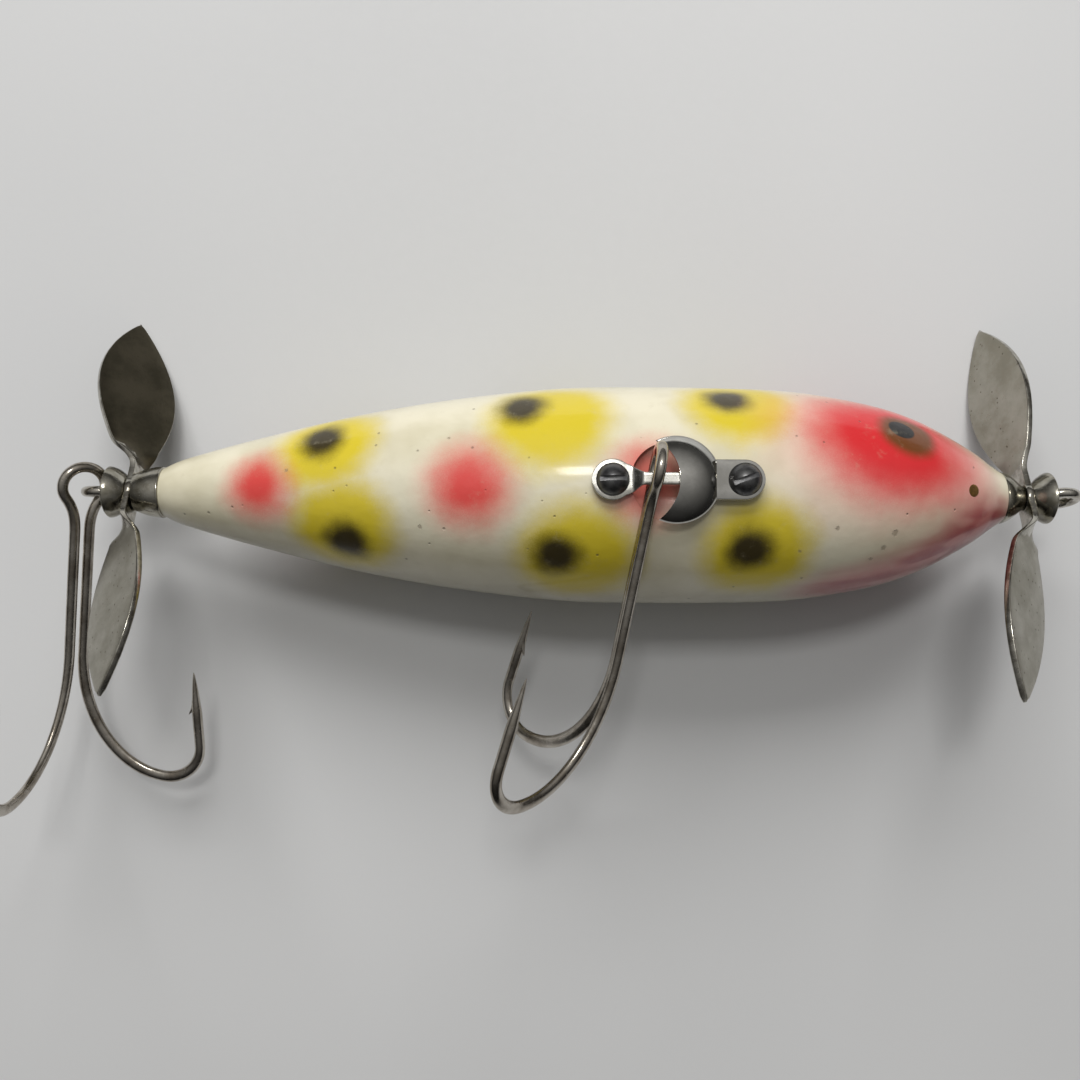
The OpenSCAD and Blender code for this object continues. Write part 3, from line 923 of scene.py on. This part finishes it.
def dome_guard():
    ball = (DOME_R ** 2 + DOME_H ** 2) / (2 * DOME_H)
    low = DOME_H - ball
    outer, inner = [], []
    steps = 40
    inside = ball - GUARD_T
    full = math.acos(-low / ball)
    full_in = math.acos(-low / inside)
    for i in range(steps + 1):
        a = full * i / steps
        outer.append((ball * math.sin(a), GUARD_Z + low + ball * math.cos(a)))
        b = full_in * i / steps
        inner.append((inside * math.sin(b), GUARD_Z + low + inside * math.cos(b)))
    lip = [(outer[-1][0] + 0.04, GUARD_Z + 0.08), (outer[-1][0], GUARD_Z)]
    profile = outer[:-1] + lip + list(reversed(inner))
    dome = lathe_z("hook_guard_dome", profile, (DOME_X, 0), 128)
    notch_r = 4.2
    notch_at = (DOME_X - notch_r + 0.15, -0.15)
    notch = lathe_z("notch", [(0, 8), (notch_r, 8), (notch_r, 16), (0, 16)], notch_at, 128)
    combine(dome, notch, "DIFFERENCE")
    bevel(dome, 0.06, 40)
    clean(dome)
    tab_end = FRONT_SCREW_X + TAB_HALF
    tab = flat_bar("tab", DOME_X + 3.42, tab_end, tab_half_width, lambda x: 0.0, GUARD_Z, GUARD_T, 50)
    drill_z(tab, FRONT_SCREW_X, 0.8)
    combine(dome, tab, "UNION")
    return dome


def screw(name, node, x, seat, slot_angle):
    ball = (HEAD_R ** 2 + HEAD_H ** 2) / (2 * HEAD_H)
    full = math.acos((ball - HEAD_H) / ball)
    profile = [(0.0, seat + HEAD_H)]
    for i in range(1, 19):
        a = full * i / 18
        profile.append((ball * math.sin(a), seat + HEAD_H - ball + ball * math.cos(a)))
    profile[-1] = (HEAD_R, seat + 0.09)
    profile += [(HEAD_R - 0.05, seat), (0.7, seat), (0.7, seat - 5.1), (0.35, seat - 5.4), (0.0, seat - 5.4)]
    obj = lathe_z(name, profile, (x, 0), 80)
    slot_half, slot_floor = 0.21, seat + HEAD_H - 0.55
    signs = ((-1, -1), (1, -1), (1, 1), (-1, 1))
    corners = [(sx * 3, sy * slot_half, z) for z in (slot_floor, seat + 3) for sx, sy in signs]
    turn = Matrix.Rotation(math.radians(slot_angle), 3, "Z")
    corners = [turn @ Vector(c) + Vector((x, 0, 0)) for c in corners]
    sides = [(0, 1, 2, 3), (4, 5, 6, 7), (0, 1, 5, 4), (1, 2, 6, 5), (2, 3, 7, 6), (3, 0, 4, 7)]
    combine(obj, new_object("slot", corners, sides), "DIFFERENCE")
    obj.data.materials.append(SCREW_STEEL)
    obj.data.materials.append(SCREW_BURR_AND_HIGHLIGHT)
    # The bevels take the bright metal: worn burr and a painted highlight along the slot's edges.
    bevel(obj, 0.07, 30, 2, 1)
    obj.data.transform(Matrix.Rotation(math.radians(-RIG_ROLL), 4, "X"))
    index = [p.material_index for p in obj.data.polygons]
    finish_piece(obj, "body", node, [SCREW_STEEL, SCREW_BURR_AND_HIGHLIGHT], 40)
    obj.data.polygons.foreach_set("material_index", index)


def build_rig():
    bar = flat_bar("hanger_bar_plate", REAR_SCREW_X - FOOT_R, FRONT_SCREW_X + TAB_HALF,
                   hanger_half_width, neck_rise, BAR_Z, PLATE_T, 140)
    drill_z(bar, REAR_SCREW_X, 0.8)
    drill_z(bar, FRONT_SCREW_X, 0.8)
    dome = dome_guard()
    for obj, node, material in ((bar, "hanger_bar", RIG_PLATE), (dome, "hook_guard", RIG_DOME)):
        obj.data.transform(Matrix.Rotation(math.radians(-RIG_ROLL), 4, "X"))
        finish_piece(obj, "body", node, [material], 42)
    screw("rear_rig_screw_head", "rear_rig_screw", REAR_SCREW_X, BAR_Z + PLATE_T + 0.02, 2)
    screw("front_rig_screw_head", "front_rig_screw", FRONT_SCREW_X, GUARD_Z + GUARD_T + 0.02, 20)


# ---------------------------------------------------------------- brass pin
def build_pin():
    """Brass pin whose end follows the body's surface."""
    sides = 40
    rings = []
    for share, raised in ((0.0, 0.05), (0.45, 0.045), (0.8, 0.035), (0.95, 0.015), (1.0, -0.03)):
        ring = []
        for k in range(sides):
            a = TURN * k / sides
            x = PIN_X + PIN_R * max(share, 0.02) * math.cos(a)
            y = PIN_R * max(share, 0.02) * math.sin(a) + 0.43
            ring.append((x, y, math.sqrt(body_radius(x) ** 2 - y * y) + raised))
        rings.append(ring)
    rings.append([(x, y, 0.6) for x, y, z in rings[-1]])
    verts, faces = rings_mesh(rings)
    obj = new_object("nose_pin_brass", verts, faces)
    finish_piece(obj, "body", "nose_pin", [PIN_BRASS], 40)


# ---------------------------------------------------------------- stage
def build_camera():
    data = bpy.data.cameras.new("camera")
    data.lens = 34.67
    data.sensor_width = 36
    data.clip_start = 0.005
    data.clip_end = 10
    camera = bpy.data.objects.new("camera", data)
    camera.location = (-50.27 * MM, -4.38 * MM, 101 * MM)
    camera.rotation_euler = (0, 0, math.radians(0.387))
    bpy.context.scene.collection.objects.link(camera)
    bpy.context.scene.camera = camera


def area_light(name, place, target, size, power, colour, glint=True):
    """A soft panel of light. Without glint it lights the scene but shows in no reflection."""
    data = bpy.data.lights.new(name, "AREA")
    data.shape = "RECTANGLE"
    data.size, data.size_y = size
    data.energy = power
    data.color = colour
    lamp = bpy.data.objects.new(name, data)
    lamp.location = place
    lamp.visible_glossy = glint
    lamp.rotation_euler = (Vector(target) - Vector(place)).to_track_quat("-Z", "Y").to_euler()
    bpy.context.scene.collection.objects.link(lamp)


def build_stage():
    low = CAD_BOX[0]
    size = 2.0
    mesh = bpy.data.meshes.new("floor")
    height = low.z - 0.02 * MM
    signs = ((-1, -1), (1, -1), (1, 1), (-1, 1))
    mesh.from_pydata([(sx * size, sy * size, height) for sx, sy in signs], [], [(0, 1, 2, 3)])
    floor = bpy.data.objects.new("floor", mesh)
    bpy.context.scene.collection.objects.link(floor)
    paint = Paint("floor_paper")
    shade = paint.ramp(paint.noise(0.012, 2.0), 0.3, 0.7)
    paint.set(Base_Color=paint.blend(shade, (0.60, 0.605, 0.61), (0.56, 0.565, 0.57)),
              Roughness=paint.ramp(paint.noise(1.2, 3.0), 0.3, 0.7, 0.55, 0.7, False),
              Normal=paint.bump(paint.noise(1.6, 4.0), 0.05, 0.1))
    mesh.materials.append(paint.material)
    aim = (-0.05, 0, 0)
    area_light("key", (-0.10, 0.42, 0.32), aim, (0.40, 0.25), 2.9, (1.0, 0.99, 0.975), False)
    area_light("lamp", (-0.06, 0.19, 0.46), aim, (0.10, 0.07), 0.5, (1.0, 0.99, 0.97))


def build_world():
    """Soft room: dark walls, a lighter ceiling, and more light on the +Y side."""
    world = bpy.data.worlds.new("room")
    world.use_nodes = True
    tree = world.node_tree
    coords = tree.nodes.new("ShaderNodeTexCoord")
    split = tree.nodes.new("ShaderNodeSeparateXYZ")
    tree.links.new(coords.outputs["Generated"], split.inputs[0])
    product = tree.nodes.new("ShaderNodeMath")
    product.operation = "MULTIPLY"
    height_stops = ((0.0, 0.05), (0.25, 0.08), (0.6, 0.30), (0.85, 0.50), (1.0, 0.50))
    side_stops = ((0.1, 0.16), (0.45, 0.6), (0.7, 1.1))
    shift = tree.nodes.new("ShaderNodeMath")
    shift.operation = "MULTIPLY_ADD"
    shift.inputs[1].default_value = 0.5
    shift.inputs[2].default_value = 0.5
    tree.links.new(split.outputs[1], shift.inputs[0])
    for k, (source, stops) in enumerate(((split.outputs[2], height_stops), (shift.outputs[0], side_stops))):
        ramp = tree.nodes.new("ShaderNodeValToRGB")
        while len(ramp.color_ramp.elements) < len(stops):
            ramp.color_ramp.elements.new(0.5)
        for element, (place, level) in zip(ramp.color_ramp.elements, stops):
            element.position = place
            element.color = (level, level, level, 1)
        tree.links.new(source, ramp.inputs[0])
        tree.links.new(ramp.outputs[0], product.inputs[k])
    tree.links.new(product.outputs[0], tree.nodes["Background"].inputs[1])
    tree.nodes["Background"].inputs[0].default_value = (1.0, 0.985, 0.96, 1)
    bpy.context.scene.world = world


bpy.context.scene.view_settings.view_transform = "Standard"
build_camera()
build_world()
build_stage()
build_body()
build_cups()
build_eyes()
build_propellers()
build_hooks()
build_rig()
build_pin()
